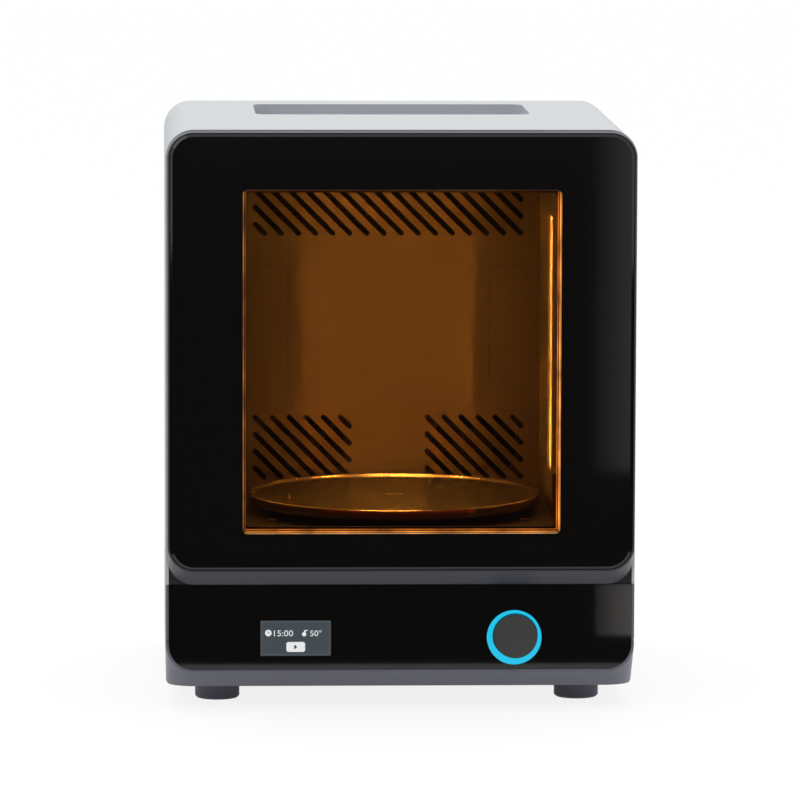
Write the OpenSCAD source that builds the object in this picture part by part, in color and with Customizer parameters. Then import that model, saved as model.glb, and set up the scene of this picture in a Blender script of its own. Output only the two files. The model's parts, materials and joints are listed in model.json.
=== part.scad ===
/* [Body] */
// Width over the housing sides
body_w = 292; // [284:1:310]
// Depth from the door glass to the rearmost point
overall_d = 286; // [284:1:300]
// Height of the top face above the table
body_h = 362.5; // [356:0.5:380]
// Radius of the front corners of the housing
corner_r = 17.5; // [14:0.5:20]
// Wall of the top cover
cover_wall = 2.4; // [2:0.1:2.8]
// Rear wall of the top cover, with the seat of the rear panel
rear_wall = 4; // [3.6:0.1:4.5]
// Wall of the lower shell and base tray
lower_wall = 3.6; // [3.2:0.1:4.2]
// Radius of the vertical rear edges
rear_edge_r = 6; // [4:0.5:8]
// Height of the joint between top cover and lower shell
cover_z = 79; // [78:0.2:80]
// Height of the joint between lower shell and base tray
seam_z = 43; // [40:0.5:46]
// Gap that shows at that joint
seam_gap = 0.8; // [0.2:0.1:1]
// Underside of the base tray
base_z = 13.5; // [12:0.5:15]
// Floor of the base tray
base_floor = 3; // [2.5:0.1:3.5]
// Radius along the lower edges of the base tray
base_edge_r = 2.5; // [1.5:0.5:3]
// Width of the rim that shows round the black front
front_rim = 1.7; // [1.4:0.1:2]
// Depth of the bezel ring
bezel_t = 3; // [2.5:0.1:3.5]
// Slope of the chins, drop for each unit of depth
chin_slope = 1; // [0.9:0.05:1.1]

/* [Storage recess in the top] */
// Distance from the housing sides to the recess
recess_side = 58; // [54:1:70]
// Front to back size of the recess
recess_l = 98; // [80:1:100]
// How deep it is
recess_deep = 12; // [8:0.5:13]
// Distance from its rear edge to the rearmost point
recess_rear = 38.5; // [34:0.5:42]
// Radius of its corners
recess_r = 8; // [5:0.5:12]

/* [Door] */
// How far the sides and the top of the door lie inside the housing
door_side_in = 1; // [0.8:0.1:1.5]
// Thickness of the door
door_t = 11.5; // [11:0.1:12]
// Gap between the closed door and the chassis
door_gap = 0.5; // [0.4:0.1:0.7]
// Lowest edge of the door
door_z = 79.4; // [79.2:0.1:80.4]
// Height of the chin under the glass
chin_h = 9; // [7:0.1:9.2]
// Rim of the door frame round the glass
door_rim = 1.2; // [1:0.1:1.5]
// How far the glass stands in front of the frame rim
glass_proud = 0.3; // [0.2:0.05:0.4]
// Thickness of the black glass
glass_t = 2.8; // [2.4:0.1:3]
// Width of the ground edge of the glass
glass_bevel_w = 2; // [1:0.1:2.4]
// Depth of the ground edge of the glass
glass_bevel_d = 0.9; // [0.5:0.1:1.2]
// Thickness of the door liner
liner_t = 3; // [2.8:0.1:3.2]
// How far the door pivot lies from the left and front faces
pivot_in = 5.5; // [5.4:0.05:5.6]
// Radius of the pivot pins
pivot_pin_r = 1.2; // [1:0.05:1.3]
// Height of a hinge knuckle
knuckle_h = 16; // [12:0.5:20]

/* [Window] */
// Distance from the housing sides to the window
window_side = 47.5; // [47:0.1:51]
// Lower edge of the window
window_z = 112.3; // [112:0.1:113]
// Distance from the window to the top face
window_above = 36.4; // [36:0.1:45]
// Radius of the window corners
window_r = 3; // [2:0.5:5]
// Margin of the liner opening inside the window, at the sides and top
liner_margin = 2; // [1.5:0.1:3]
// Margin of the liner opening inside the window, at the bottom
liner_sill = 3.2; // [2.5:0.1:4]
// Width of the rubber seal
seal_w = 5; // [4:0.5:6]

/* [Chamber] */
// Distance from the housing sides to the chamber side walls
chamber_side = 47.3; // [47:0.1:50.5]
// Distance from the chamber back wall to the rearmost point
chamber_rear = 73; // [71:0.5:78]
// Top of the chamber floor
floor_z = 112.4; // [111:0.1:112.8]
// Distance from the chamber roof to the top face
roof_below = 28.7; // [27:0.1:32]
// Sheet of the chamber walls
sheet = 1.2; // [1:0.1:1.5]
// Distance between air slots, measured level
slot_pitch = 11.15; // [10.5:0.05:12]
// Width of an air slot
slot_w = 3.6; // [3:0.1:4]
// Width of the light slot in each side wall
light_w = 37; // [30:1:40]
// Height of the lower end of the light slot above the chamber floor
light_below = 26.9; // [24:0.1:36]
// Distance from the upper end of the light slot to the chamber roof
light_above = 32.5; // [29:0.1:50]
// How far the light emitters lie behind the side wall
light_set_back = 17; // [15:0.5:19]

/* [Turntable] */
// Gap between the turntable and the chamber side walls
disc_side = 5.7; // [5:0.1:12]
// Top of its rim above the table
disc_z = 124; // [123.5:0.1:125]
// Height of its side
disc_h = 6.3; // [5.5:0.1:7]
// Width of the raised rim
disc_rim = 1.6; // [1.2:0.1:2.5]
// How far the plate lies below the rim
disc_dish = 1.3; // [1:0.1:2]
// How far the turntable axis lies in front of the chamber middle
disc_ahead = 0.5; // [0:0.1:1]
// Radius of the turntable shaft
shaft_r = 3; // [2.5:0.1:3.5]

/* [Controls] */
// Thickness of the black control panel
panel_t = 3; // [2.5:0.1:3.2]
// Lower edge of the control panel
panel_z = 25.3; // [25:0.1:26]
// Width of the display window
display_w = 43.8; // [40:0.1:46]
// Height of the display window
display_h = 22.2; // [20:0.1:24]
// Distance from the left side to the display centre
display_side = 80.8; // [75:0.1:86]
// Height of the display centre
display_z = 45.1; // [44.5:0.1:45.5]
// Outer radius of the light ring
ring_r = 17; // [16.4:0.1:17.2]
// Distance from the right side to the ring centre
ring_side = 74.9; // [60:0.1:85]
// Height of the ring centre
ring_z = 45.3; // [45:0.1:45.6]
// Radius of the knob
knob_r = 13.65; // [13:0.05:13.8]
// Sideways offset of the knob from the ring centre
knob_dx = 0.6; // [0:0.1:0.7]
// Upward offset of the knob from the ring centre
knob_dz = 1; // [0:0.1:1]
// How far the knob stands in front of the control panel
knob_proud = 4; // [3:0.1:5]
// Push travel of the knob
push_travel = 0.6; // [0.4:0.1:0.6]

/* [Feet] */
// Radius of a foot
foot_r = 14; // [12:0.5:15]
// Distance from the housing sides to the feet
foot_side = 32.5; // [28:0.5:40]
// Distance from the door glass to the front feet
foot_front_at = 65; // [55:1:75]
// Distance from the rear feet to the rearmost point
foot_rear = 44; // [36:1:48]

/* [Fans] */
// Frame size of the circulation fans
small_fan = 60; // [50:1:60]
// Thickness of the circulation fans
small_fan_t = 15; // [15:1:20]
// Frame size of the exhaust fan
large_fan = 80; // [70:1:80]
// Thickness of the exhaust fan
large_fan_t = 25; // [20:1:25]
// How far the exhaust fan centre lies above the middle of the rear panel
fan_above = 4.25; // [0:0.25:12]

/* [Hidden] */
$fn = 64;

white = [0.87, 0.88, 0.89];
grey = [0.35, 0.35, 0.39];
black = [0.06, 0.06, 0.065];
gloss = [0.02, 0.02, 0.022];
amber = [0.95, 0.55, 0.08];
steel = [0.72, 0.7, 0.66];
alloy = [0.75, 0.76, 0.78];
rubber = [0.16, 0.16, 0.17];
cyan = [0.14, 0.75, 0.94];
green = [0.1, 0.35, 0.2];
brass = [0.8, 0.65, 0.3];

chassis_at = door_t + door_gap;
bezel_back = chassis_at + bezel_t;
guard_tab = 0.9;
guard_head = 1.5;
body_back = overall_d - guard_tab - guard_head;
plate_in = 0.3;
plate_front = chassis_at + plate_in;
fit = 0.15;
run = 0.05;
half_w = body_w / 2;
cover_in = half_w - cover_wall;
recess_w = body_w - 2 * recess_side;
recess_at = overall_d - recess_rear - recess_l;
lip_z = panel_z - front_rim;
panel_w = body_w - 2 * front_rim - 0.1;
panel_r = corner_r - front_rim;
panel_top = cover_z - 0.3;
panel_back = chassis_at + panel_t;
carrier_t = 3;
carrier_back = panel_back + carrier_t;
deck_t = 1.5;
deck_z = cover_z + 0.1;
deck_top = deck_z + deck_t;

door_w = body_w - 2 * door_side_in;
door_half = door_w / 2;
door_top = body_h - door_side_in;
door_corner_r = corner_r - door_side_in;
door_chin_z = door_z + chin_h;
glass_w = door_w - 2 * door_rim - 0.1;
glass_r = door_corner_r - door_rim;
glass_z = door_chin_z + 1;
glass_top = door_top - door_rim * 0.5;
window_w = body_w - 2 * window_side;
window_h = body_h - window_above - window_z;
liner_front = door_t - liner_t;
liner_open_w = window_w - 2 * liner_margin;
liner_open_z = window_z + liner_sill;
liner_open_top = window_z + window_h - liner_margin - 0.3;
liner_side = 13;
liner_edge = 7;
liner_w = door_w - 2 * liner_side;
liner_z = door_z + liner_edge;
liner_top = door_top - liner_edge + 1;
liner_r = 10;
flange = 5;
flange_front = glass_t + run;
flange_t = 3.1;
pivot_x = -door_half + pivot_in;
knuckle_r = 2.4;
arm_t = 2.4;
hinge_low = 26.6;
hinge_high = 30.5;
hinge_z = [door_z + hinge_low, body_h - hinge_high];
hinge_foot_l = 16;
hinge_foot_t = 1.5;
pin_l = knuckle_h + 12;
magnet_r = 5;
magnet_t = 2.8;
catch_r = 6.5;
catch_t = 1.2;
catch_side = 24;
catch_low = 70.6;
catch_high = 72.5;
catch_x = door_half - catch_side;
catch_z = [door_z + catch_low, body_h - catch_high];
seal_in = 6;
seal_t = 2.3;

chamber_w = body_w - 2 * chamber_side;
wall_x = chamber_w / 2;
roof_z = body_h - roof_below;
chamber_front = bezel_back;
chamber_back_at = overall_d - chamber_rear;
chamber_l = chamber_back_at - chamber_front;
disc_at = (chamber_front + chamber_back_at) / 2 - disc_ahead;
disc_r = min(chamber_w, chamber_l - 0.6) / 2 - disc_side;
light_z = floor_z + light_below;
light_h = roof_z - light_above - light_z;
light_ahead = 4;
light_mid = disc_at - light_ahead;
light_r = 8;
box_wall = 1.2;
emitter_x = wall_x + light_set_back;
led_board_t = 1.6;
chip = 5;
chip_t = 1.2;
sink_base = 4;
fin_l = 18;
fin_t = 1.5;
fin_count = 9;
sink_side = 11;
sink_end = 8;
sink_w = light_w + 2 * sink_side;
sink_h = light_h + 2 * sink_end;
sink_x = emitter_x + chip_t + led_board_t;
slot_rest = 5.85;
slot_side = 11.7;
slot_x = wall_x - slot_side;
fans_apart = 24;
low_slots = floor((slot_x - fans_apart - slot_rest) / slot_pitch);
top_slots = floor((2 * slot_x - slot_rest) / slot_pitch);
low_slot_rise = 8.3;
top_slot_drop = 53.2;
low_slot_z = floor_z + low_slot_rise;
top_slot_z = roof_z - top_slot_drop;
low_slot_w = low_slots * slot_pitch + slot_rest;
low_slot_h = 3 * slot_pitch + slot_rest;
top_slot_w = top_slots * slot_pitch + slot_rest;
groove = 0.6;
mark_drop = 74.3;
mark_rise = 69.6;
mark_side = 11;
mark_in = 21.3;
mark_w = 21;
sheet_mark_z = roof_z - mark_drop;
sheet_mark_low = floor_z + mark_rise;
floor_screw_side = 19.2;
floor_screw_end = 41;

hub_r = 12;
disc_screw_r = 5.5;
screw_sunk = 1;
hub_z = disc_z - disc_h - 3.4;
bush_flange_z = hub_z - 0.3;
motor_r = 25;
motor_h = 17;
motor_top = floor_z - 1.5 - 10;
display_x = -half_w + display_side;
ring_x = half_w - ring_side;
knob_x = ring_x + knob_dx;
knob_z = ring_z + knob_dz;
knob_front = chassis_at - knob_proud;
ring_hole_r = knob_r + 0.55;
plunger_at = carrier_back + 2.4;
plunger_t = 0.8;
board_at = plunger_at + plunger_t + push_travel + 0.25;
board_t = 1.6;
fan_gap = 0.3;
fan_centre_x = slot_x - low_slot_w / 2;
fan_centre_z = low_slot_z + low_slot_h / 2;
rear_open_in = 14;
rear_t = 2;
rear_screw_low = 24;
rear_screw_high = 39.5;
rear_screw_step = (body_h - cover_z - rear_screw_low - rear_screw_high) / 2;
rear_screw_edge = 11.2;
rear_screw_side = 86;
vent_side = 76;
vent_rise = 39;
vent_x = half_w - vent_side;
passage_rear = 51;
passage_r = 9;
intake_side = 54;
intake_rear = 96;
intake_w = 3;
intake_l = 40;
intake_pitch = 9;
control_side = 57;
control_edge = 8;
large_fan_z = (cover_z + body_h) / 2 + fan_above;
foot_x = half_w - foot_side;
foot_rear_at = overall_d - foot_rear;
inlet_side = 54;
switch_step = 44;
inlet_x = -half_w + inlet_side;
inlet_screw_x = 20;
lower_mid_z = (seam_z + cover_z) / 2 + 1;
inlet_w = 27;
inlet_h = 20;
inlet_t = 2;
inlet_sink = 1.2;
switch_x = inlet_x + switch_step;
switch_w = 13;
switch_h = 19;
rocker_pivot_in = 4;
rocker_tilt = 9;
foot_screw_r = 2;
screw_head_r = 3.2;
screw_hole_r = 1.7;
tapped_r = 1.3;
supply_side = 14;
supply_ends = 136;
supply_x = -half_w + supply_side;
supply_w = 96;
supply_l = overall_d - supply_ends;
supply_h = 38;
supply_at = 78;
main_gap = 14;
main_side = 18;
main_ends = 168;
main_x = supply_x + supply_w + main_gap;
main_w = half_w - main_side - main_x;
main_l = overall_d - main_ends;
main_at = 62;
main_rise = 6;
hole_in = 6;
motor_screw_x = 32;
duct_l = 30;
duct_drop = 6.4;
duct_side = 11.8;
duct_z = floor_z - duct_drop;
heater_in = 27;
heater_rise = 73.6;
heater_w = 2 * (slot_x - heater_in);
heater_h = 26;
heater_t = 20;
heater_z = floor_z + heater_rise;

// Moves depths counted from the door glass into the part's own frame
module placed() {
  translate([0, -overall_d / 2, 0]) children();
}

// Extrudes an outline drawn in X and Z from depth d0 to depth d1
module upright(d0, d1) {
  translate([0, d1, 0]) rotate([90, 0, 0]) linear_extrude(d1 - d0) children();
}

// Turns a revolved form so that its axis runs towards the rear
module axis_back(x, d, z) {
  translate([x, d, z]) rotate([-90, 0, 0]) children();
}

// Lets what is drawn sink with depth
module sinking(slope) {
  multmatrix([[1, 0, 0, 0], [0, 1, 0, 0], [0, -slope, 1, 0], [0, 0, 0, 1]]) children();
}

// Rounded rectangle with its centre at x and from z0 to z1
module panel_shape(w, z0, z1, r, x = 0) {
  translate([x, (z0 + z1) / 2]) union() {
    square([w - 2 * r, z1 - z0], center = true);
    square([w, z1 - z0 - 2 * r], center = true);
    for (sx = [-1, 1]) {
      for (sz = [-1, 1]) {
        translate([sx * (w / 2 - r), sz * ((z1 - z0) / 2 - r)]) circle(r);
      }
    }
  }
}

// Plan outline of the housing: square at the front, rounded at the rear
module plan_shape(w, d0, d1, r) {
  union() {
    translate([-w / 2, d0]) square([w, d1 - d0 - r]);
    translate([-w / 2 + r, d0]) square([w - 2 * r, d1 - d0]);
    for (s = [-1, 1]) translate([s * (w / 2 - r), d1 - r]) circle(r);
  }
}

// Outline of the whole front, and the same drawn smaller by an inset
module front_shape(inset, z0 = lip_z) {
  panel_shape(body_w - 2 * inset, z0 + inset, body_h - inset, corner_r - inset);
}

// A bar with round ends between two points
module slot_bar(p, q, w) {
  l = norm(q - p);
  a = atan2(q[1] - p[1], q[0] - p[0]);
  translate(p) rotate(a) union() {
    translate([0, -w / 2]) square([l, w]);
    circle(w / 2);
    translate([l, 0]) circle(w / 2);
  }
}

// Slots that fall from left to right at 45 degrees inside one rectangle
module slanted_slots(x0, z0, w, h, w_slot = slot_w) {
  tops = floor(w / slot_pitch);
  for (i = [0:tops]) {
    run_l = min(h, w - i * slot_pitch);
    slot_bar([x0 + i * slot_pitch, z0 + h], [x0 + i * slot_pitch + run_l, z0 + h - run_l], w_slot);
  }
  for (j = [1:floor(h / slot_pitch)]) {
    run_l = min(w, h - j * slot_pitch);
    slot_bar([x0, z0 + h - j * slot_pitch], [x0 + run_l, z0 + h - j * slot_pitch - run_l], w_slot);
  }
}

// Pan head screw with its head at the origin and its shank along -Z
module pan_screw(head_r, head_h, shank_r, shank_l) {
  rotate_extrude() union() {
    difference() {
      square([head_r, head_h]);
      translate([0, head_h * 0.45]) square([head_r * 0.28, head_h]);
    }
    translate([0, -shank_l]) square([shank_r, shank_l + 0.1]);
  }
}

module top_cover() {
  color(white) placed() {
    difference() {
      cover_outside(0, bezel_back, body_back);
      cover_outside(cover_wall, bezel_back - 1, body_back - rear_wall);
      translate([-half_w - 1, 0, -100]) cube([body_w + 2, overall_d, cover_z + 100]);
      upright(body_back - rear_t, overall_d)
        panel_shape(body_w - 2 * rear_open_in + 12, cover_z + 8, body_h - 8, 10);
      upright(body_back - rear_wall - 1, overall_d)
        panel_shape(body_w - 2 * rear_open_in, cover_z + 14, body_h - 14, 6);
      recess_block(recess_w, recess_l, recess_r, body_h - recess_deep, body_h + 1);
      for (p = rear_screw_places()) axis_back(p[0], body_back - 8, p[1]) cylinder(h = 12, r = tapped_r);
    }
    difference() {
      recess_block(recess_w + 4, recess_l + 4, recess_r + 2, body_h - recess_deep - 2,
        body_h - cover_wall + 0.4);
      recess_block(recess_w, recess_l, recess_r, body_h - recess_deep, body_h + 1);
    }
  }
}

// Solid form of the cover, drawn smaller by a wall
module cover_outside(wall, d0, end) {
  w = body_w - 2 * wall;
  r = corner_r - wall;
  e = rear_edge_r - wall / 2;
  intersection() {
    upright(d0, end) panel_shape(w, -60, body_h - wall, r);
    translate([0, 0, -70]) linear_extrude(body_h + 80) plan_shape(w, d0, end, e);
  }
}

module recess_block(w, l, r, z0, z1) {
  translate([0, recess_at + recess_l / 2, z0]) linear_extrude(z1 - z0) panel_shape(w, -l / 2, l / 2, r);
}

function rear_screw_places() = [
  for (sx = [-1, 1]) for (k = [0:2])
    [sx * (half_w - rear_open_in + 3.2), cover_z + rear_screw_low + k * rear_screw_step],
  for (sz = [cover_z + rear_screw_edge, body_h - rear_screw_edge]) for (sx = [-1, 1])
    [sx * (half_w - rear_screw_side), sz]
];

module front_bezel() {
  color(grey) placed() upright(chassis_at, bezel_back) difference() {
    front_shape(0);
    front_shape(front_rim);
    translate([-half_w - 1, 0]) square([body_w + 2, cover_z]);
  }
}

module front_plate() {
  color(black) placed() difference() {
    upright(plate_front, bezel_back) difference() {
      front_shape(front_rim + fit);
      translate([-half_w, 0]) square([body_w, cover_z + 0.2]);
      panel_shape(chamber_w, floor_z, window_z + window_h + 2, 2);
    }
    for (z = hinge_z) hinge_foot(z, fit, plate_front + hinge_foot_t);
    for (z = catch_z) axis_back(catch_x, plate_front - 1, z) cylinder(h = 1 + catch_t, r = catch_r + fit);
  }
}

module lower_shell() {
  color(grey) placed() difference() {
    translate([0, 0, seam_z + seam_gap]) linear_extrude(cover_z - seam_z - seam_gap)
      plan_shape(body_w, chassis_at, body_back, rear_edge_r);
    translate([0, 0, seam_z]) linear_extrude(cover_z)
      plan_shape(body_w - 2 * lower_wall, carrier_back + 0.2, body_back - lower_wall, rear_edge_r - 2);
    upright(chassis_at - 1, panel_back) panel_outline(fit);
    upright(panel_back - 0.1, carrier_back + 1) carrier_outline(fit);
    upright(body_back - lower_wall - 1, body_back + 1) {
      translate([inlet_x, lower_mid_z]) square([inlet_w + 2 * fit, inlet_h + 2 * fit], center = true);
      translate([switch_x, lower_mid_z]) square([switch_w + 2 * fit, switch_h + 2 * fit], center = true);
      for (s = [-1, 1]) translate([inlet_x + s * inlet_screw_x, lower_mid_z]) circle(screw_hole_r);
    }
  }
}

module base_tray() {
  color(grey) placed() difference() {
    intersection() {
      base_block();
      sinking(chin_slope) translate([0, 0, chassis_at * chin_slope])
        upright(chassis_at, body_back + 1) panel_shape(body_w, lip_z, lip_z + 400, corner_r);
    }
    translate([0, 0, base_z + base_floor]) linear_extrude(60)
      plan_shape(body_w - 2 * lower_wall, chassis_at + 16, body_back - lower_wall, rear_edge_r - 2);
    translate([0, 0, panel_z + 1.5]) linear_extrude(60)
      plan_shape(body_w - 2 * lower_wall, carrier_back + 0.2, body_back - lower_wall, rear_edge_r - 2);
    upright(chassis_at - 1, panel_back) panel_outline(fit);
    upright(panel_back - 0.1, carrier_back + 1) carrier_outline(fit);
    for (p = foot_places()) translate([p[0], p[1], base_z - 1]) cylinder(h = 10, r = foot_screw_r + fit);
    intake_slots();
  }
}

// Block with rounded lower edges that the base tray is cut from
module base_block() {
  e = base_edge_r;
  translate([0, 0, base_z + e]) linear_extrude(seam_z - base_z - e)
    plan_shape(body_w, chassis_at, body_back, rear_edge_r);
  intersection() {
    translate([0, 0, base_z]) linear_extrude(e + 1) plan_shape(body_w, chassis_at, body_back, rear_edge_r);
    union() {
      upright(0, overall_d) panel_shape(body_w, base_z, base_z + 60, e);
    }
    translate([-half_w, 0, 0]) rotate([90, 0, 90]) linear_extrude(body_w)
      panel_shape(2 * body_back, base_z, base_z + 60, e);
  }
}

// Narrow air inlets in the underside
module intake_slots() {
  translate([0, 0, base_z - 1]) linear_extrude(base_floor + 2)
    for (i = [0:8]) translate([half_w - intake_side - i * intake_pitch, overall_d - intake_rear])
      square([intake_w, intake_l]);
}

// Outline of the black control panel, larger by a clearance
module panel_outline(clear = 0) {
  intersection() {
    panel_shape(panel_w + 2 * clear, panel_z - clear, panel_z + 200, panel_r + clear);
    translate([-half_w, 0]) square([body_w, panel_top + clear * 4]);
  }
}

module carrier_outline(clear = 0) {
  panel_shape(panel_w - 8 + 2 * clear, panel_z + 3 - clear, panel_top - 2 + clear, 6);
}

module rear_panel() {
  color(grey) placed() difference() {
    upright(body_back - rear_t, body_back) difference() {
      panel_shape(body_w - 2 * rear_open_in + 12 - 2 * fit, cover_z + 8 + fit, body_h - 8 - fit, 10 - fit);
      translate([0, large_fan_z]) circle(large_fan / 2 - 3);
      for (s = [-1, 1]) {
        slanted_slots(s * vent_x - low_slot_w / 2, cover_z + vent_rise, low_slot_w, low_slot_h);
      }
      for (p = rear_screw_places()) translate(p) circle(screw_hole_r);
      for (sx = [-1, 1]) {
        for (sz = [-1, 1]) {
          translate([sx * fan_hole(large_fan), large_fan_z + sz * fan_hole(large_fan)]) circle(screw_hole_r);
        }
      }
    }
  }
}

// Distance of a fan's screw holes from its centre
function fan_hole(size) = size * 0.45;

module control_panel() {
  color(gloss) placed() upright(chassis_at, panel_back) difference() {
    panel_outline();
    translate([display_x, display_z]) square([display_w, display_h], center = true);
    translate([ring_x, ring_z]) circle(ring_r + 0.2);
  }
}

module panel_carrier() {
  color(black) placed() upright(panel_back, carrier_back) difference() {
    carrier_outline();
    translate([display_x, display_z]) square([display_w, display_h], center = true);
    translate([knob_x, knob_z]) circle(5.2);
  }
}

module display_module() {
  screen_in = 0.5;
  color([0.28, 0.31, 0.33]) placed() union() {
    upright(chassis_at + screen_in, carrier_back + 0.5)
      translate([display_x, display_z]) square([display_w - 0.4, display_h - 0.4], center = true);
    upright(carrier_back, board_at)
      translate([display_x, display_z]) square([display_w + 8, display_h + 6], center = true);
  }
}

module light_ring() {
  color(cyan) placed() difference() {
    axis_back(ring_x, chassis_at - 0.4, ring_z) rotate_extrude() union() {
      translate([0, 0.6]) square([ring_r, panel_t - 0.3]);
      square([ring_r - 0.6, 1]);
    }
    axis_back(knob_x, chassis_at - 2, knob_z) cylinder(h = panel_t + 4, r = ring_hole_r);
  }
}

module knob() {
  color([0.24, 0.24, 0.235]) placed() difference() {
    axis_back(knob_x, knob_front, knob_z) rotate_extrude() difference() {
      union() {
        translate([0, 0.5]) square([knob_r, knob_proud + 0.6]);
        square([knob_r - 0.5, 1]);
        translate([0, 2]) square([6, knob_proud + 0.1]);
      }
      translate([7.5, 3]) square([knob_r - 9.3, 10]);
    }
    axis_back(knob_x, knob_front + 2, knob_z) cylinder(h = 20, r = 3 + run / 2);
  }
}

module encoder_shaft() {
  color(steel) placed() axis_back(knob_x, knob_front + 2.1, knob_z)
    cylinder(h = plunger_at - run - knob_front - 2.1, r = 3);
}

module push_plunger() {
  color(black) placed() axis_back(knob_x, plunger_at, knob_z) cylinder(h = plunger_t, r = 2.9);
}

module encoder_body() {
  color(alloy) placed() difference() {
    union() {
      upright(carrier_back + 0.05, board_at - 0.05)
        translate([knob_x, knob_z]) square([13, 14], center = true);
      axis_back(knob_x, carrier_back - 2.6, knob_z) cylinder(h = 3, r = 4.6);
    }
    axis_back(knob_x, carrier_back - 4, knob_z) cylinder(h = 12, r = 3 + run);
  }
}

module control_board() {
  color(green) placed() upright(board_at, board_at + board_t)
    panel_shape(body_w - 2 * control_side, panel_z + control_edge, panel_top - control_edge, 2);
}

module door_frame() {
  color(grey) placed() difference() {
    door_solid();
    upright(-1, glass_t + run) panel_shape(glass_w + 2 * run, glass_z - run, glass_top + run, glass_r);
    upright(0, door_t + 1) panel_shape(window_w + 2 * flange + 2 * fit, window_z - flange - fit,
      window_z + window_h + flange + fit, window_r + 2);
    upright(liner_front, door_t + 1)
      panel_shape(liner_w + 2 * fit, liner_z - fit, liner_top + fit, liner_r + fit);
    hinge_edge_cut();
    for (z = hinge_z) {
      hinge_notch(z);
      translate([pivot_x, pivot_in, z - pin_l / 2 - fit]) cylinder(h = pin_l + 2 * fit, r = pivot_pin_r);
    }
  }
}

// Door outline with the chin that drops from the glass to the rear
module door_solid() {
  intersection() {
    upright(glass_proud, door_t) panel_shape(door_w, door_z, door_top, door_corner_r);
    sinking(chin_slope) translate([0, 0, glass_proud * chin_slope])
      upright(glass_proud, door_t) panel_shape(door_w, door_chin_z, door_chin_z + 400, door_corner_r);
    door_edge_limit();
  }
}

// Rounds the left front edge so that it clears the chassis as the door opens
module door_edge_limit() {
  r = 1.4;
  linear_extrude(body_h + 10) union() {
    translate([-door_half, glass_proud + r]) square([door_w, door_t]);
    translate([-door_half + r, glass_proud]) square([door_w - 2 * r, door_t]);
    for (s = [-1, 1]) translate([s * (door_half - r), glass_proud + r]) circle(r);
  }
}

// Cuts the left rear edge round about the pivot
module hinge_edge_cut() {
  reach = door_t - pivot_in;
  translate([pivot_x, pivot_in, 0]) linear_extrude(body_h + 10) difference() {
    translate([-20, 0]) square([20, 20]);
    circle(reach);
  }
}

// Space in which the fixed knuckle and its arm swing
module hinge_notch(z) {
  clear = 0.35;
  translate([0, 0, z - knuckle_h / 2 - clear]) linear_extrude(knuckle_h + 2 * clear) union() {
    translate([pivot_x, pivot_in]) circle(knuckle_r + clear);
    translate([-door_half - 1, glass_t + run]) square([1 + pivot_in, door_t]);
    translate([pivot_x - 0.1, pivot_in]) square([arm_t / 2 + clear + 0.1, door_t]);
  }
}

module door_glass() {
  color(gloss) placed() difference() {
    union() {
      upright(glass_bevel_d, glass_t) glass_shape(0);
      tapered_slab(glass_w, glass_z, glass_top, glass_r, glass_bevel_d, 0, glass_bevel_w);
    }
    upright(-1, glass_t + 1) panel_shape(window_w, window_z, window_z + window_h, window_r);
  }
}

module glass_shape(inset) {
  panel_shape(glass_w - 2 * inset, glass_z + inset, glass_top - inset, glass_r - inset);
}

// Slab whose outline shrinks by an inset between the depths wide_at and narrow_at
module tapered_slab(w, z0, z1, r, wide_at, narrow_at, inset) {
  zc = (z0 + z1) / 2;
  zh = (z1 - z0) / 2;
  xh = w / 2;
  t = abs(narrow_at - wide_at);
  first = min(wide_at, narrow_at);
  r_first = (wide_at < narrow_at) ? r : r - inset;
  r_last = (wide_at < narrow_at) ? r - inset : r;
  for (sx = [-1, 1]) {
    for (sz = [-1, 1]) {
      axis_back(sx * (xh - r), first, zc + sz * (zh - r)) cylinder(h = t, r1 = r_first, r2 = r_last);
    }
  }
  translate([0, 0, z0 + r]) linear_extrude(2 * (zh - r))
    polygon([[-xh + inset, narrow_at], [xh - inset, narrow_at], [xh, wide_at], [-xh, wide_at]]);
  translate([-xh + r, 0, zc]) rotate([90, 0, 90]) linear_extrude(2 * (xh - r))
    polygon([[narrow_at, -zh + inset], [narrow_at, zh - inset], [wide_at, zh], [wide_at, -zh]]);
}

module door_window() {
  pane_in = 0.5;
  side = 0.2;
  pane_taper = 1.8;
  color(amber, 0.6) placed() union() {
    upright(pane_in, flange_front + 0.5) panel_shape(window_w - 2 * side, window_z + side,
      window_z + window_h - side, window_r - side);
    upright(flange_front, flange_front + flange_t) panel_shape(window_w + 2 * flange, window_z - flange,
      window_z + window_h + flange, window_r + 2);
    tapered_slab(window_w - 2 * side, window_z + side, window_z + window_h - side, window_r - side,
      flange_front + flange_t, liner_front - 0.1, pane_taper);
  }
}

module door_liner() {
  color(black) placed() difference() {
    upright(liner_front, door_t) difference() {
      panel_shape(liner_w, liner_z, liner_top, liner_r);
      panel_shape(liner_open_w, liner_open_z, liner_open_top, window_r);
    }
    upright(door_t - 1.5, door_t + 1) seal_shape(0.1);
    for (z = catch_z) axis_back(catch_x, liner_front - 1, z) cylinder(h = liner_t + 2, r = magnet_r + 0.05);
  }
}

// Ring on which the seal lies, wider by a clearance on each side
module seal_shape(clear) {
  w = window_w + 2 * seal_in;
  z0 = window_z - seal_in;
  z1 = window_z + window_h + seal_in;
  difference() {
    panel_shape(w + 2 * (seal_w + clear), z0 - seal_w - clear, z1 + seal_w + clear,
      window_r + seal_w + clear);
    panel_shape(w - 2 * clear, z0 + clear, z1 - clear, window_r);
  }
}

module door_seal() {
  color(rubber) placed() difference() {
    upright(door_t - 1.5, plate_front - 0.15) seal_shape(0);
    upright(door_t + 0.2, plate_front + 1) difference() {
      seal_shape(-1.2);
      seal_shape(-1.9);
    }
  }
}

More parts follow.
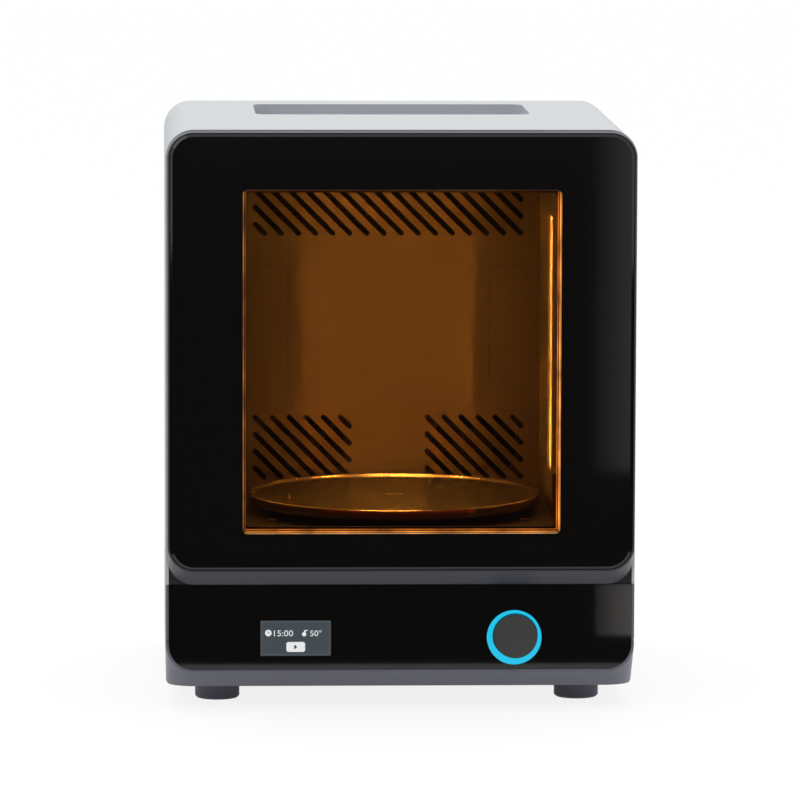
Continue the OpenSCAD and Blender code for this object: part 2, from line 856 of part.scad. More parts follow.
// Knuckles with an arm to a foot that is let into the front plate
module hinge_brackets() {
  color(steel) placed() for (z = hinge_z) {
    difference() {
      union() {
        translate([pivot_x, pivot_in, z - knuckle_h / 2]) cylinder(h = knuckle_h, r = knuckle_r);
        translate([pivot_x - arm_t / 2, pivot_in, z - knuckle_h / 2])
          cube([arm_t, plate_front + hinge_foot_t - pivot_in, knuckle_h]);
        hinge_foot(z, 0, plate_front + hinge_foot_t);
      }
      translate([pivot_x, pivot_in, z - knuckle_h]) cylinder(h = 2 * knuckle_h, r = pivot_pin_r + run);
    }
  }
}

module hinge_foot(z, clear, d1) {
  translate([pivot_x - arm_t / 2 - clear, plate_front, z - knuckle_h / 2 - clear])
    cube([hinge_foot_l + 2 * clear, d1 - plate_front, knuckle_h + 2 * clear]);
}

module hinge_pins() {
  color(brass) placed() for (z = hinge_z) {
    translate([pivot_x, pivot_in, z - pin_l / 2]) cylinder(h = pin_l, r = pivot_pin_r - 0.01);
  }
}

module door_magnets() {
  color(alloy) placed() for (z = catch_z) {
    axis_back(catch_x, liner_front + 0.05, z) cylinder(h = magnet_t, r = magnet_r);
  }
}

module catch_plates() {
  color(steel) placed() for (z = catch_z) {
    axis_back(catch_x, plate_front, z) cylinder(h = catch_t, r = catch_r);
  }
}

module chamber_back() {
  color(steel) placed() difference() {
    upright(chamber_back_at, chamber_back_at + sheet) difference() {
      translate([-wall_x - sheet, deck_top]) square([chamber_w + 2 * sheet, roof_z + sheet - deck_top]);
      slanted_slots(-slot_x, low_slot_z, low_slot_w, low_slot_h);
      slanted_slots(slot_x - low_slot_w, low_slot_z, low_slot_w, low_slot_h);
      slanted_slots(-slot_x, top_slot_z, top_slot_w, low_slot_h);
    }
    for (s = [-1, 1]) {
      translate([s * (slot_x - mark_side) - mark_w / 2, chamber_back_at - 1, sheet_mark_z])
        cube([mark_w, 1.4, groove]);
      translate([s * (slot_x - mark_in) - groove / 2, chamber_back_at - 1, sheet_mark_low])
        cube([groove, 1.4, sheet_mark_z + groove - sheet_mark_low]);
    }
  }
}

// One side wall, drawn on the right
module side_wall() {
  difference() {
    translate([wall_x, chamber_front, deck_top]) cube([sheet, chamber_l, roof_z + sheet - deck_top]);
    translate([wall_x - 1, light_mid, light_z + light_h / 2]) rotate([90, 0, 90]) linear_extrude(sheet + 2)
      panel_shape(light_w, -light_h / 2, light_h / 2, light_r);
    translate([wall_x - 1, light_mid - 52.5, floor_z]) cube([1.4, groove, roof_z - floor_z]);
  }
}

module chamber_right() {
  color(steel) placed() side_wall();
}

module chamber_left() {
  color(steel) placed() mirror([1, 0, 0]) side_wall();
}

module chamber_floor() {
  color(steel) placed() difference() {
    translate([-wall_x, chamber_front, floor_z - 1.5]) cube([chamber_w, chamber_l, 1.5]);
    translate([0, disc_at, floor_z - 5]) cylinder(h = 10, r = 8);
    for (p = floor_screw_places()) translate([p[0], p[1], floor_z - 5]) cylinder(h = 10, r = screw_hole_r);
  }
}

function floor_screw_places() = [
  for (sx = [-1, 1]) for (sd = [-1, 1])
    [sx * (wall_x - floor_screw_side), disc_at + sd * (chamber_l / 2 - floor_screw_end)]
];

module chamber_roof() {
  color(steel) placed() translate([-wall_x, chamber_front, roof_z])
    cube([chamber_w, chamber_l, sheet]);
}

module chassis_deck() {
  color(steel) placed() difference() {
    translate([0, 0, deck_z]) linear_extrude(deck_t)
      plan_shape(2 * cover_in - 0.4, chamber_front, body_back - rear_wall - 0.2, rear_edge_r);
    for (s = [-1, 1]) translate([s * vent_x, overall_d - passage_rear, deck_z - 1])
      cylinder(h = 5, r = passage_r);
  }
}

module sensor_bracket() {
  at = chamber_front + 3;
  tall = 25;
  wide = 26;
  color(steel) placed() translate([wall_x, at, floor_z + 10]) difference() {
    union() {
      translate([-1, 0, 0]) cube([1, wide, tall]);
      translate([-4, 0, 0]) cube([4, 1, tall]);
    }
    for (s = [-1, 1]) {
      translate([-3, wide - 8, tall / 2 + s * 6.5]) rotate([0, 90, 0]) cylinder(h = 6, r = 1.6);
    }
  }
}

// Draws a part on the right side and its mirror image on the left
module both_sides() {
  children();
  mirror([1, 0, 0]) children();
}

module light_boxes() {
  color(white) placed() both_sides() translate([wall_x + sheet, light_mid, light_z + light_h / 2])
    rotate([90, 0, 90]) linear_extrude(sink_x - wall_x - sheet) difference() {
      panel_shape(light_w + 2 * box_wall, -light_h / 2 - box_wall, light_h / 2 + box_wall,
        light_r + box_wall);
      panel_shape(light_w, -light_h / 2, light_h / 2, light_r);
    }
}

module led_boards() {
  color(white) placed() both_sides()
    translate([sink_x - led_board_t, light_mid, light_z + light_h / 2]) rotate([90, 0, 90])
      linear_extrude(led_board_t) panel_shape(light_w - 0.6, -light_h / 2 + 0.3, light_h / 2 - 0.3, light_r);
}

module led_chips() {
  rows = 9;
  step = (light_h - 24) / (rows - 1);
  color([0.95, 0.85, 0.4]) placed() both_sides() for (i = [0:rows - 1]) {
    for (s = [-1, 1]) {
      translate([emitter_x, light_mid + s * 8 - chip / 2, light_z + 12 + i * step - chip / 2])
        cube([chip_t, chip, chip]);
    }
  }
}

module heat_sinks() {
  step = (sink_w - fin_t) / (fin_count - 1);
  color(alloy) placed() both_sides()
    translate([sink_x, light_mid - sink_w / 2, light_z + light_h / 2 - sink_h / 2])
    union() {
      cube([sink_base, sink_w, sink_h]);
      for (i = [0:fin_count - 1]) translate([sink_base - 0.1, i * step, 0])
        cube([fin_l + 0.1, fin_t, sink_h]);
    }
}

module turntable() {
  r = disc_r;
  under = disc_z - disc_h;
  color(steel) placed() translate([0, disc_at, 0]) difference() {
    rotate_extrude() union() {
      translate([0, under + 1]) square([r, disc_h - disc_dish - 1]);
      translate([0, under]) square([r - 1, 2]);
      translate([r - disc_rim, under + 1]) square([disc_rim, disc_h - 1.4]);
      translate([r - disc_rim + 0.4, under + 1]) square([disc_rim - 0.8, disc_h - 1]);
      translate([0, hub_z]) square([hub_r, 6]);
    }
    translate([0, 0, hub_z - 1]) cylinder(h = disc_z, r = shaft_r + 0.02);
    translate([0, 0, disc_z - disc_dish - screw_sunk]) cylinder(h = disc_h, r = disc_screw_r + 0.1);
  }
}

module turntable_screw() {
  head_h = screw_sunk - 0.1;
  seat_z = disc_z - disc_dish - screw_sunk;
  color(steel) placed() translate([0, disc_at, seat_z]) rotate_extrude() difference() {
    union() {
      square([disc_screw_r, head_h - 0.3]);
      square([disc_screw_r - 0.4, head_h]);
    }
    translate([0, 0.3]) square([1.6, 2]);
  }
}

module turntable_shaft() {
  color(steel) placed() translate([0, disc_at, motor_top - 6])
    cylinder(h = disc_z - disc_dish - screw_sunk - run - motor_top + 6, r = shaft_r);
}

module turntable_bush() {
  color(brass) placed() translate([0, disc_at, 0]) rotate_extrude() difference() {
    union() {
      translate([0, floor_z - 4.5]) square([8 - run, bush_flange_z - floor_z + 4.5]);
      translate([0, floor_z]) square([10.5, bush_flange_z - floor_z]);
    }
    translate([-1, 0]) square([1 + shaft_r + run, 200]);
  }
}

module gear_motor() {
  color(alloy) placed() translate([0, disc_at, motor_top - motor_h]) difference() {
    union() {
      cylinder(h = motor_h, r = motor_r);
      for (s = [-1, 1]) translate([s * (motor_screw_x - 2) - 6, -4, motor_h - 1]) cube([12, 8, 1]);
      translate([-13, motor_r - 4, 2]) cube([26, 8, 12]);
    }
    translate([0, 0, motor_h - 7]) cylinder(h = 20, r = shaft_r + run);
    for (s = [-1, 1]) translate([s * motor_screw_x, 0, 0]) cylinder(h = 40, r = screw_hole_r);
  }
}

module motor_standoffs() {
  color(brass) placed() for (s = [-1, 1]) {
    translate([s * motor_screw_x, disc_at, motor_top]) difference() {
      cylinder(h = floor_z - 1.5 - motor_top, r = 3.5);
      translate([0, 0, -1]) cylinder(h = 6, r = tapped_r);
    }
  }
}

// Fan housing with its rear face at depth 0 to t, open duct and three struts
module fan_frame(size, t) {
  hub = size * 0.21;
  duct = size * 0.475;
  difference() {
    union() {
      difference() {
        upright(0, t) panel_shape(size, -size / 2, size / 2, size * 0.06);
        axis_back(0, -1, 0) cylinder(h = t + 2, r = duct);
      }
      intersection() {
        axis_back(0, t - 2.5, 0) cylinder(h = 2.5, r = duct + 0.5);
        union() {
          for (a = [90, 210, 330]) rotate([0, a, 0]) translate([0, t - 2.5, -1.5]) cube([duct + 1, 2.5, 3]);
          axis_back(0, t - 2.5, 0) cylinder(h = 2.5, r = hub);
        }
      }
    }
    axis_back(0, -1, 0) cylinder(h = t + 2, r = 1.5 + run);
    for (sx = [-1, 1]) {
      for (sz = [-1, 1]) {
        axis_back(sx * fan_hole(size), -1, sz * fan_hole(size)) cylinder(h = t + 2, r = screw_hole_r);
      }
    }
  }
}

// Rotor with pitched blades in front of the struts, on its own spindle
module fan_rotor(size, t) {
  hub = size * 0.2;
  tip = size * 0.475 - 0.8;
  blade_d = t - 4.5;
  union() {
    axis_back(0, 1, 0) cylinder(h = blade_d, r = hub);
    axis_back(0, 1, 0) cylinder(h = t - 1.3, r = 1.5);
    intersection() {
      axis_back(0, 1.2, 0) difference() {
        cylinder(h = blade_d - 0.4, r = tip);
        translate([0, 0, -1]) cylinder(h = t, r = hub - 1);
      }
      for (i = [0:6]) rotate([0, i * 360 / 7, 0]) translate([hub - 1, 1 + blade_d / 2, 0])
        rotate([52, 0, 0]) translate([0, -t, -0.6]) cube([tip - hub + 2, 2 * t, 1.2]);
    }
  }
}

fan_at = chamber_back_at + sheet;

module fan_frames() {
  color(black) placed() for (s = [-1, 1]) {
    translate([s * fan_centre_x, fan_at, fan_centre_z]) fan_frame(small_fan, small_fan_t);
  }
}

module fan_rotor_left() {
  color([0.12, 0.12, 0.13]) placed() translate([-fan_centre_x, fan_at, fan_centre_z])
    fan_rotor(small_fan, small_fan_t);
}

module fan_rotor_right() {
  color([0.12, 0.12, 0.13]) placed() translate([fan_centre_x, fan_at, fan_centre_z])
    fan_rotor(small_fan, small_fan_t);
}

module heater() {
  fins = 20;
  rail = 4;
  step = (heater_w - 2 * rail) / fins;
  row = heater_h / 2 - 2;
  color(alloy) placed() translate([-heater_w / 2, fan_at, heater_z]) difference() {
    cube([heater_w, heater_t, heater_h]);
    for (i = [0:fins - 1]) {
      for (k = [0, 1]) {
        translate([rail + i * step, -1, 3 + k * row]) cube([step - 1, heater_t + 2, row - 2]);
      }
    }
  }
}

module air_duct() {
  w = 2 * (fan_centre_x + small_fan / 2 + duct_side);
  h = roof_z - duct_z;
  color(black) placed() translate([-w / 2, fan_at, duct_z]) difference() {
    cube([w, duct_l, h]);
    translate([sheet, -1, sheet]) cube([w - 2 * sheet, duct_l + 1 - sheet, h - 2 * sheet]);
  }
}

exhaust_at = body_back - rear_t - large_fan_t;

module exhaust_frame() {
  color(black) placed() translate([0, exhaust_at, large_fan_z]) fan_frame(large_fan, large_fan_t);
}

module exhaust_rotor() {
  color([0.12, 0.12, 0.13]) placed() translate([0, exhaust_at, large_fan_z])
    fan_rotor(large_fan, large_fan_t);
}

// Guard of rings and spokes, stamped from one sheet, over the exhaust opening
module fan_guard() {
  hole = fan_hole(large_fan);
  ring_w = 1.8;
  guard_back = body_back + guard_tab;
  color(steel) placed() translate([0, 0, large_fan_z]) upright(body_back, guard_back) difference() {
    union() {
      for (r = [11:8:large_fan / 2 - 5]) {
        difference() {
          circle(r + ring_w);
          circle(r);
        }
      }
      for (a = [45:90:315]) {
        rotate(a) translate([12, -ring_w / 2]) square([hole * sqrt(2) - 12, ring_w]);
        rotate(a) translate([hole * sqrt(2), 0]) circle(3.8);
      }
    }
    for (sx = [-1, 1]) {
      for (sz = [-1, 1]) translate([sx * hole, sz * hole]) circle(screw_hole_r);
    }
  }
}

module power_inlet() {
  color(black) placed() difference() {
    union() {
      upright(body_back, body_back + inlet_t) panel_shape(50, lower_mid_z - 12, lower_mid_z + 12, 4, inlet_x);
      upright(body_back - 22, body_back + 0.1) translate([inlet_x, lower_mid_z])
        square([inlet_w, inlet_h], center = true);
    }
    upright(body_back - 14, body_back + 5) inlet_socket(0);
    for (s = [-1, 1]) {
      axis_back(inlet_x + s * inlet_screw_x, body_back - 5, lower_mid_z) cylinder(h = 10, r = screw_hole_r);
      axis_back(inlet_x + s * inlet_screw_x, body_back + inlet_t - inlet_sink, lower_mid_z)
        cylinder(h = 4, r = 3);
    }
    inlet_bars(0.02);
  }
}

// Socket outline with two cut corners
module inlet_socket(inset) {
  w = 23 / 2 - inset;
  h = 16 / 2 - inset;
  translate([inlet_x, lower_mid_z])
    polygon([[-w, -h], [w, -h], [w, h - 4.5], [w - 4.5, h], [-w + 4.5, h], [-w, h - 4.5]]);
}

module inlet_pins() {
  color(brass) placed() inlet_bars(0);
}

// The three contact bars, thicker by a clearance
module inlet_bars(clear) {
  for (p = [[-7, -2], [7, -2], [0, 2]]) {
    translate([inlet_x + p[0] - 1 - clear, body_back - 28, lower_mid_z + p[1] - 2 - clear])
      cube([2 + 2 * clear, 24, 4 + 2 * clear]);
  }
}

module switch_body() {
  color(black) placed() difference() {
    union() {
      upright(body_back, body_back + 1.2) panel_shape(switch_w + 3, lower_mid_z - switch_h / 2 - 1.5,
        lower_mid_z + switch_h / 2 + 1.5, 2, switch_x);
      upright(body_back - 17, body_back + 0.1) translate([switch_x, lower_mid_z])
        square([switch_w, switch_h], center = true);
    }
    upright(body_back - 8, body_back + 5) translate([switch_x, lower_mid_z])
      square([switch_w - 2, switch_h - 2], center = true);
    translate([switch_x - switch_w, body_back - rocker_pivot_in, lower_mid_z]) rotate([0, 90, 0])
      cylinder(h = 2 * switch_w, r = 1 + run);
  }
}

// Rocker with a hollow face, at rest with its lower half pushed in
module switch_rocker() {
  h = switch_h / 2 - 1.9;
  w = switch_w - 2.8;
  color([0.1, 0.1, 0.1]) placed() translate([switch_x, body_back - rocker_pivot_in, lower_mid_z])
    rotate([-rocker_tilt, 0, 0]) union() {
      rotate([90, 0, 90]) translate([0, 0, -w / 2]) linear_extrude(w)
        polygon([[-2, -h * 0.7], [3.9, -h], [3.4, 0], [3.9, h], [-2, h * 0.7]]);
      rotate([0, 90, 0]) translate([0, 0, -switch_w / 2 + 0.2]) cylinder(h = switch_w - 0.4, r = 1);
    }
}

module power_supply() {
  rows = 9;
  row_step = (supply_l - 33) / rows;
  column_step = (supply_w - 24) / 4;
  color(alloy) placed() translate([supply_x, supply_at, base_z + base_floor]) difference() {
    union() {
      cube([supply_w, supply_l, supply_h]);
      translate([8, -8, 2]) cube([supply_w - 16, 9, 14]);
    }
    for (i = [0:rows]) {
      for (k = [0:4]) {
        translate([12 + k * column_step, 14 + i * row_step, supply_h - 1.5]) cylinder(h = 3, r = 2.6);
      }
    }
  }
}

module main_board() {
  top = board_t - 0.1;
  cooler_x = main_w / 3;
  cooler_y = main_l / 2;
  color(green) placed() translate([main_x, main_at, base_z + base_floor + main_rise]) difference() {
    union() {
      cube([main_w, main_l, board_t]);
      for (i = [0:3]) translate([22 + i * 14, 18, top]) cylinder(h = 16, r = 5);
      for (i = [0:4]) translate([14 + i * 20, main_l - 12, top]) cube([14, 8, 9]);
      translate([main_w - 54, 40, top]) cube([16, 16, 2.2]);
      for (i = [0:4]) translate([cooler_x + i * 5, cooler_y, top]) cube([2, 30, 20]);
      translate([cooler_x, cooler_y, top]) cube([22, 30, 3]);
    }
    for (p = board_places()) translate([p[0], p[1], -1]) cylinder(h = 5, r = screw_hole_r);
  }
}

function board_places() = [
  for (x = [hole_in, main_w - hole_in]) for (y = [hole_in, main_l - hole_in]) [x, y]
];

module board_standoffs() {
  color(brass) placed() for (p = board_places()) {
    translate([main_x + p[0], main_at + p[1], base_z + base_floor]) difference() {
      cylinder(h = main_rise, r = 3);
      translate([0, 0, 1]) cylinder(h = main_rise, r = tapped_r);
    }
  }
}

function foot_places() = [for (sx = [-1, 1]) for (d = [foot_front_at, foot_rear_at]) [sx * foot_x, d]];

module feet() {
  edge = 1.2;
  color(rubber) placed() for (p = foot_places()) {
    translate([p[0], p[1], 0]) rotate_extrude() difference() {
      union() {
        translate([0, edge]) square([foot_r, base_z - edge]);
        polygon([[0, 0], [foot_r - edge, 0], [foot_r, edge], [foot_r, edge + 0.1], [0, edge + 0.1]]);
      }
      translate([-1, -1]) square([1 + screw_head_r + 0.8, 6]);
      translate([-1, 0]) square([1 + foot_screw_r + fit, 30]);
    }
  }
}

module foot_screws() {
  color(steel) placed() for (p = foot_places()) {
    translate([p[0], p[1], 5]) mirror([0, 0, 1])
      pan_screw(screw_head_r, 2.4, foot_screw_r, base_z + base_floor - 2);
  }
}

module chassis_screws() {
  color(steel) placed() for (p = floor_screw_places()) {
    translate([p[0], p[1], floor_z]) pan_screw(2.9, 1.8, 1.5, 5);
  }
}

module rear_screws() {
  hole = fan_hole(large_fan);
  color(steel) placed() {
    for (p = rear_screw_places()) axis_back(p[0], body_back, p[1]) pan_screw(screw_head_r, 1.7, 1.25, 6);
    for (sx = [-1, 1]) {
      for (sz = [-1, 1]) axis_back(sx * hole, body_back + guard_tab, large_fan_z + sz * hole)
        pan_screw(screw_head_r, guard_head, 1.5, 12);
      axis_back(inlet_x + sx * inlet_screw_x, body_back + inlet_t - inlet_sink, lower_mid_z)
        pan_screw(2.8, 1, 1.5, 8);
    }
  }
}

top_cover();
front_bezel();
front_plate();
lower_shell();
base_tray();
rear_panel();
control_panel();
panel_carrier();
display_module();
light_ring();
knob();
encoder_shaft();
push_plunger();
encoder_body();
control_board();
door_frame();
door_glass();
door_window();
door_liner();
door_seal();
hinge_brackets();
hinge_pins();
door_magnets();
catch_plates();
chamber_back();
chamber_left();
chamber_right();
chamber_floor();
chamber_roof();
chassis_deck();
sensor_bracket();
light_boxes();
led_boards();
led_chips();
heat_sinks();
turntable();
turntable_screw();
turntable_shaft();
turntable_bush();
gear_motor();
motor_standoffs();
fan_frames();
fan_rotor_left();
fan_rotor_right();
heater();
air_duct();
exhaust_frame();
exhaust_rotor();
fan_guard();
power_inlet();
inlet_pins();
switch_body();
switch_rocker();
power_supply();
main_board();
board_standoffs();
feet();
foot_screws();
chassis_screws();
rear_screws();
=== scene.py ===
import bmesh
import bpy
import json
import math
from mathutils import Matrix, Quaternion, Vector


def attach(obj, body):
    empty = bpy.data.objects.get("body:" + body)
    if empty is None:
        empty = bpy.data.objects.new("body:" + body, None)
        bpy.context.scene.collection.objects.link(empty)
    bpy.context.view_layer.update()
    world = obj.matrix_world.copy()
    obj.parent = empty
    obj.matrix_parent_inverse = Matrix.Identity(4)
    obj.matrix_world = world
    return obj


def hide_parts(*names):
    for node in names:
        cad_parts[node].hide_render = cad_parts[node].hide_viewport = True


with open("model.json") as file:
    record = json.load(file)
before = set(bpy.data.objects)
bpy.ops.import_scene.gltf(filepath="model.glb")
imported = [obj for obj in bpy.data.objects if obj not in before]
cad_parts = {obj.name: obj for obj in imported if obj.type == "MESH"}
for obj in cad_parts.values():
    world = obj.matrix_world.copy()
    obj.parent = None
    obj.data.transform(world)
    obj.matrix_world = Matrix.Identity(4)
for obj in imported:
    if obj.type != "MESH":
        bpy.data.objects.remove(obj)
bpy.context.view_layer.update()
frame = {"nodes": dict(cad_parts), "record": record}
nodes = frame["nodes"]
scene = bpy.context.scene
scene.view_settings.view_transform = "Standard"

# ---------------------------------------------------------------- camera
AZIMUTH = math.radians(-2.3836)
ELEVATION = math.radians(6.547)
ROLL = math.radians(0.1926)
DISTANCE = 3.82864
TARGET = Vector((-0.0012315, -0.143, 0.19583))
BACK = Vector((math.sin(AZIMUTH) * math.cos(ELEVATION),
               -math.cos(AZIMUTH) * math.cos(ELEVATION),
               math.sin(ELEVATION)))
cam_data = bpy.data.cameras.new("camera")
cam_data.lens = 278.5
cam_data.sensor_width = 36.0
cam_data.clip_start = 0.1
cam_data.clip_end = 60.0
camera = bpy.data.objects.new("camera", cam_data)
camera.location = TARGET + BACK * DISTANCE
aim = (-BACK).to_track_quat("-Z", "Y") @ Quaternion((0, 0, 1), ROLL)
camera.rotation_euler = aim.to_euler()
scene.collection.objects.link(camera)
scene.camera = camera


# ---------------------------------------------------------------- steps that materials share
def linear(c):
    """An sRGB colour from 0 to 255 as linear values."""
    out = []
    for v in c:
        v = v / 255.0
        out.append(v / 12.92 if v <= 0.04045 else ((v + 0.055) / 1.055) ** 2.4)
    return (*out, 1.0)


def calc(tree, operation, a, b=0.0, c=None):
    """One step of arithmetic in a material, on sockets or plain numbers."""
    node = tree.nodes.new("ShaderNodeMath")
    node.operation = operation
    for i, v in enumerate((a, b) if c is None else (a, b, c)):
        if isinstance(v, (int, float)):
            node.inputs[i].default_value = v
        else:
            tree.links.new(v, node.inputs[i])
    return node.outputs[0]


def between(tree, value, low, high):
    """One where a value lies between two numbers, else zero."""
    return calc(tree, "MULTIPLY", calc(tree, "GREATER_THAN", value, low), calc(tree, "LESS_THAN", value, high))


def split(tree, kind, output):
    """The three numbers of one output of a coordinate node."""
    where = tree.nodes.new(kind)
    parts = tree.nodes.new("ShaderNodeSeparateXYZ")
    tree.links.new(where.outputs[output], parts.inputs["Vector"])
    return parts.outputs["X"], parts.outputs["Y"], parts.outputs["Z"]


def place(tree):
    """The coordinates of the shaded point in the piece's own frame."""
    return split(tree, "ShaderNodeTexCoord", "Object")


def noise(tree, scale, detail):
    """Noise that is fixed to the piece."""
    where = tree.nodes.new("ShaderNodeTexCoord")
    node = tree.nodes.new("ShaderNodeTexNoise")
    node.inputs["Scale"].default_value = scale
    node.inputs["Detail"].default_value = detail
    tree.links.new(where.outputs["Object"], node.inputs["Vector"])
    return node.outputs["Fac"]


def spread(tree, value, to_min, to_max, from_min=0.0, from_max=1.0):
    """A value moved from one range to another and held within it."""
    node = tree.nodes.new("ShaderNodeMapRange")
    node.inputs["From Min"].default_value = from_min
    node.inputs["From Max"].default_value = from_max
    node.inputs["To Min"].default_value = to_min
    node.inputs["To Max"].default_value = to_max
    tree.links.new(value, node.inputs["Value"])
    return node.outputs["Result"]


def blend(tree, share, first, second):
    """A colour that goes from the first to the second as the share goes from 0 to 1."""
    mix = tree.nodes.new("ShaderNodeMix")
    mix.data_type = "RGBA"
    mix.inputs["A"].default_value = first
    mix.inputs["B"].default_value = second
    tree.links.new(share, mix.inputs["Factor"])
    return mix.outputs["Result"]


def mix_shaders(tree, share, first, second):
    """Two shaders mixed by a socket or a plain number."""
    mix = tree.nodes.new("ShaderNodeMixShader")
    if isinstance(share, float):
        mix.inputs["Fac"].default_value = share
    else:
        tree.links.new(share, mix.inputs["Fac"])
    tree.links.new(first, mix.inputs[1])
    tree.links.new(second, mix.inputs[2])
    return mix.outputs["Shader"]


def principled(m):
    """The main shader of a new material."""
    return m.node_tree.nodes["Principled BSDF"]


def bare_material(name):
    """A new material without its first shader, with its node tree and its surface socket."""
    m = bpy.data.materials.new(name)
    m.use_nodes = True
    m.node_tree.nodes.remove(principled(m))
    return m, m.node_tree, m.node_tree.nodes["Material Output"].inputs["Surface"]


# ---------------------------------------------------------------- materials
GRAIN_DETAIL = 3.0
GRAIN_DEPTH = 0.0002
ROUGHNESS_CHANGE = 0.05


def material(name, base, rough, metal=0.0, spec=0.5, grain=0.0, scale=900.0):
    """A principled material. A grain gives it a fine bump and a little change of roughness."""
    m = bpy.data.materials.new(name)
    m.use_nodes = True
    tree = m.node_tree
    shader = principled(m)
    shader.inputs["Base Color"].default_value = base
    shader.inputs["Roughness"].default_value = rough
    shader.inputs["Metallic"].default_value = metal
    shader.inputs["Specular IOR Level"].default_value = spec
    if grain:
        grains = noise(tree, scale, GRAIN_DETAIL)
        bump = tree.nodes.new("ShaderNodeBump")
        bump.inputs["Strength"].default_value = grain
        bump.inputs["Distance"].default_value = GRAIN_DEPTH
        tree.links.new(grains, bump.inputs["Height"])
        tree.links.new(bump.outputs["Normal"], shader.inputs["Normal"])
        smoothest = max(0.02, rough - ROUGHNESS_CHANGE)
        roughest = min(1.0, rough + ROUGHNESS_CHANGE)
        tree.links.new(spread(tree, grains, smoothest, roughest), shader.inputs["Roughness"])
    return m


def glow(m, colour, strength):
    """Light of one colour and strength from the whole surface."""
    principled(m).inputs["Emission Color"].default_value = colour
    principled(m).inputs["Emission Strength"].default_value = strength
    return m


PANE_TINT = (0.60, 0.35, 0.13, 1.0)
PANE_SHINE = 0.02
PANE_HALF_W = 0.0983
PANE_HALF_H = 0.1067
PANE_MID_Z = 0.2192
FACING = 0.9
# Brightness of the painted highlight on each edge
LEFT_EDGE, RIGHT_EDGE = 0.55, 1.95
UPPER_EDGE, LOWER_EDGE = 0.13, 1.43
# The painted highlight on an edge shows two lines with a darker gap; depths are from the pane's outline inward
OUTER_LINE, OUTER_DEPTH = 1.0, 0.00055
GAP = 0.15
INNER_LINE, INNER_DEPTH = 0.6, 0.00130
OUTER_HUE = (1.0, 0.62, 0.33, 1.0)
INNER_HUE = (1.0, 0.42, 0.13, 1.0)


def amber_pane(name):
    """Tinted clear plastic with a faint mirror on its faces, and a painted highlight on its edges: they glow,
    brighter on some sides, though the pane is no lamp.
    """
    m, tree, surface = bare_material(name)
    clear = tree.nodes.new("ShaderNodeBsdfTransparent")
    clear.inputs["Color"].default_value = PANE_TINT
    shine = tree.nodes.new("ShaderNodeBsdfGlossy")
    shine.inputs["Color"].default_value = (1.0, 1.0, 1.0, 1.0)
    shine.inputs["Roughness"].default_value = 0.03
    face = mix_shaders(tree, PANE_SHINE, clear.outputs["BSDF"], shine.outputs["BSDF"])

    _, normal_y, _ = split(tree, "ShaderNodeTexCoord", "Normal")
    on_edge = calc(tree, "LESS_THAN", calc(tree, "ABSOLUTE", normal_y), FACING)

    x, _, z = place(tree)
    to_side = calc(tree, "SUBTRACT", PANE_HALF_W, calc(tree, "ABSOLUTE", x))
    height = calc(tree, "SUBTRACT", z, PANE_MID_Z)
    to_end = calc(tree, "SUBTRACT", PANE_HALF_H, calc(tree, "ABSOLUTE", height))
    on_side = calc(tree, "LESS_THAN", to_side, to_end)
    right = calc(tree, "GREATER_THAN", x, 0.0)
    low = calc(tree, "LESS_THAN", height, 0.0)
    side_level = calc(tree, "MULTIPLY_ADD", right, RIGHT_EDGE - LEFT_EDGE, LEFT_EDGE)
    end_level = calc(tree, "MULTIPLY_ADD", low, LOWER_EDGE - UPPER_EDGE, UPPER_EDGE)
    level = calc(tree, "ADD", calc(tree, "MULTIPLY", side_level, on_side),
                 calc(tree, "MULTIPLY", end_level, calc(tree, "SUBTRACT", 1.0, on_side)))

    inward = calc(tree, "MINIMUM", to_side, to_end)
    outer = calc(tree, "LESS_THAN", inward, OUTER_DEPTH)
    inner = calc(tree, "GREATER_THAN", inward, INNER_DEPTH)
    line = calc(tree, "ADD", calc(tree, "MULTIPLY_ADD", outer, OUTER_LINE - GAP, GAP),
                calc(tree, "MULTIPLY", inner, INNER_LINE - GAP))
    uneven = spread(tree, noise(tree, 60.0, 4.0), 0.5, 1.6, from_min=0.35, from_max=0.7)
    # Painted highlight: the pane's edges glow as emission
    light = tree.nodes.new("ShaderNodeEmission")
    tree.links.new(blend(tree, outer, INNER_HUE, OUTER_HUE), light.inputs["Color"])
    strength = calc(tree, "MULTIPLY", calc(tree, "MULTIPLY", level, line), uneven)
    tree.links.new(strength, light.inputs["Strength"])
    tree.links.new(mix_shaders(tree, on_edge, face, light.outputs["Emission"]), surface)
    return m


LED_FRONT_Y = -0.0490


def front_line_glow(m, colour, weak, strong):
    """Light from an emitter whose front edge is far brighter than the rest."""
    tree = m.node_tree
    _, y, _ = place(tree)
    front = calc(tree, "LESS_THAN", y, LED_FRONT_Y)
    principled(m).inputs["Emission Color"].default_value = colour
    strength = calc(tree, "MULTIPLY_ADD", front, strong - weak, weak)
    tree.links.new(strength, principled(m).inputs["Emission Strength"])
    return m


WALL_FACE_Y = 0.0699
GROOVE_Y = (0.07004, 0.0711)
SIDE_SHEET_X = (0.09874, 0.0998)
# Painted shade: near black in the scribed grooves and on the cut edges of the slots
CUT_SHADE_COLOUR = (0.02, 0.018, 0.016, 1.0)


def scribed(m, base):
    """The chamber's metal, with painted shade in the scribed lines and on the cut edges of the air slots and
    light slots.
    """
    tree = m.node_tree
    x, y, _ = place(tree)
    in_back = between(tree, y, *GROOVE_Y)
    in_side = calc(tree, "MULTIPLY", between(tree, calc(tree, "ABSOLUTE", x), *SIDE_SHEET_X),
                   calc(tree, "LESS_THAN", y, WALL_FACE_Y))
    cut = calc(tree, "MAXIMUM", in_back, in_side)
    tree.links.new(blend(tree, cut, base, CUT_SHADE_COLOUR), principled(m).inputs["Base Color"])
    return m


BOX_MID_Z = 0.2203
BOX_HALF_H = 0.081
BOX_MID_SHARE = 0.3
BOX_END_RISE = 0.75


